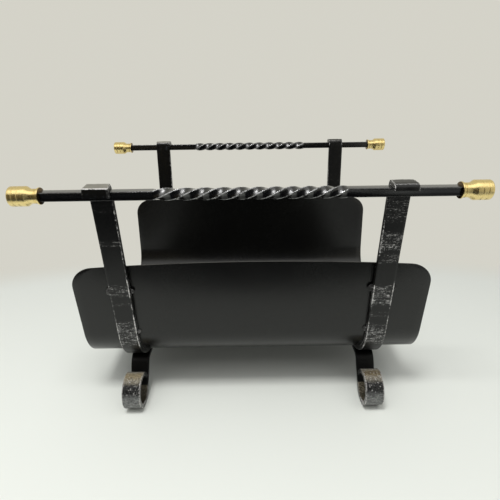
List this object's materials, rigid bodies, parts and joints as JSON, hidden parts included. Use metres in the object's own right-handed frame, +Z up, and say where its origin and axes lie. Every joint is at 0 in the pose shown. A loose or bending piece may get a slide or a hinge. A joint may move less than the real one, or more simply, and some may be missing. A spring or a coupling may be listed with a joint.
{
  "type": "fireside log holder",
  "caption": "Fireside log cradle: U-shaped sheet tray in flat-bar hoops with twisted square rails, turned brass knobs and scrolled feet.",
  "frame": {"origin": "on the floor, under the middle of the tray", "axes": "+X along the tray and rails, towards the right-hand knobs; -Y towards the front; +Z up"},
  "size_m": [0.4814, 0.3642, 0.2991],
  "materials": {
    "satin_paint": "smooth satin black paint",
    "worn_paint": "satin black paint rubbed to bright steel along the edges",
    "gloss_paint": "semi-gloss black paint",
    "forged_feet": "black legs, with hammered and nearly bare brown-grey steel on the scroll eyes",
    "brass": "polished, lathe-turned brass",
    "plated_steel": "plain plated stud"
  },
  "bodies": {
    "root": {"tray": "satin_paint", "left_hoop": "worn_paint", "right_hoop": "worn_paint", "left_foot_bar": "forged_feet", "right_foot_bar": "forged_feet", "front_rail": "gloss_paint", "back_rail": "gloss_paint", "front_left_knob": "brass", "front_right_knob": "brass", "back_left_knob": "brass", "back_right_knob": "brass", "front_left_stud": "plated_steel", "front_right_stud": "plated_steel", "back_left_stud": "plated_steel", "back_right_stud": "plated_steel", "left_tray_tacks": "worn_paint", "right_tray_tacks": "worn_paint", "left_foot_welds": "worn_paint", "right_foot_welds": "worn_paint", "front_rail_welds": "gloss_paint", "back_rail_welds": "gloss_paint"}
  },
  "joints": []
}
